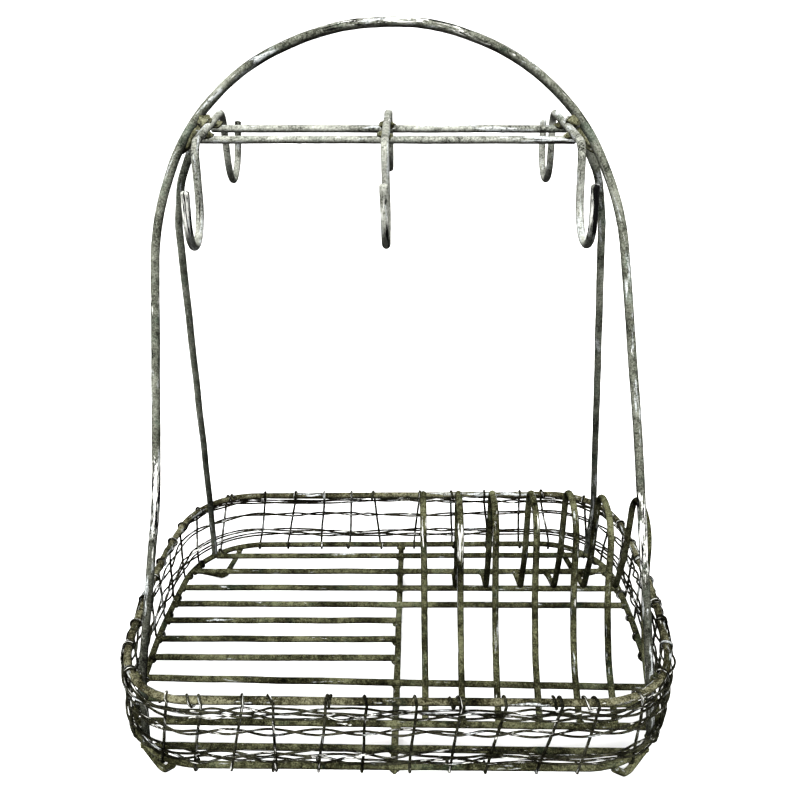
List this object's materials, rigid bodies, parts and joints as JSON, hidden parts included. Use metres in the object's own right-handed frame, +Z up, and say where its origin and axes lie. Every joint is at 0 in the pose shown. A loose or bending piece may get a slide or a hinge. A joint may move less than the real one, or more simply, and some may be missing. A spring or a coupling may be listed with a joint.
{
  "type": "wire plate drainer",
  "caption": "Welded wire drainer: a woven-wire tray with a rod floor and plate dividers under an arched carrying handle with double mug hooks.",
  "frame": {"origin": "centre of the overall outline, on the table that the feet stand on", "axes": "+Z up, +Y to the back, +X to the right seen from the front"},
  "size_m": [0.4724, 0.314, 0.5627],
  "materials": {
    "handle_wire": "weathered galvanised, grey-beige with dark chips",
    "hook_wire": "weathered galvanised, pale grey with silver patches",
    "basket_wire": "weathered galvanised, dark olive patina",
    "wall_wire": "weathered galvanised tie wire, dark with silver rubs"
  },
  "bodies": {
    "root": {"bottom_ring": "basket_wire", "top_rim": "basket_wire", "centre_bar": "basket_wire", "floor_rod_01": "basket_wire", "floor_rod_02": "basket_wire", "floor_rod_03": "basket_wire", "floor_rod_04": "basket_wire", "floor_rod_05": "basket_wire", "floor_rod_06": "basket_wire", "floor_rod_07": "basket_wire", "floor_rod_08": "basket_wire", "floor_rod_09": "basket_wire", "floor_rod_10": "basket_wire", "floor_rod_11": "basket_wire", "plate_divider_1": "basket_wire", "plate_divider_2": "basket_wire", "plate_divider_3": "basket_wire", "plate_divider_4": "basket_wire", "plate_divider_5": "basket_wire", "plate_divider_6": "basket_wire", "plate_divider_7": "basket_wire", "foot_rear_left": "basket_wire", "foot_rear_right": "basket_wire", "foot_front_left": "basket_wire", "foot_front_right": "basket_wire", "arch_handle": "handle_wire", "rear_leg_left": "handle_wire", "rear_leg_right": "handle_wire", "mug_hook_left": "hook_wire", "mug_hook_centre": "hook_wire", "mug_hook_right": "hook_wire", "hook_bar_front": "hook_wire", "hook_bar_rear": "hook_wire", "wall_stays_front": "wall_wire", "wall_stays_rear": "wall_wire", "wall_stays_left": "wall_wire", "wall_stays_right": "wall_wire", "strand_1_inner": "wall_wire", "strand_1_outer": "wall_wire", "strand_2_inner": "wall_wire", "strand_2_outer": "wall_wire", "strand_3_inner": "wall_wire", "strand_3_outer": "wall_wire", "strand_4_inner": "wall_wire", "strand_4_outer": "wall_wire", "strand_5_inner": "wall_wire", "strand_5_outer": "wall_wire"}
  },
  "joints": []
}
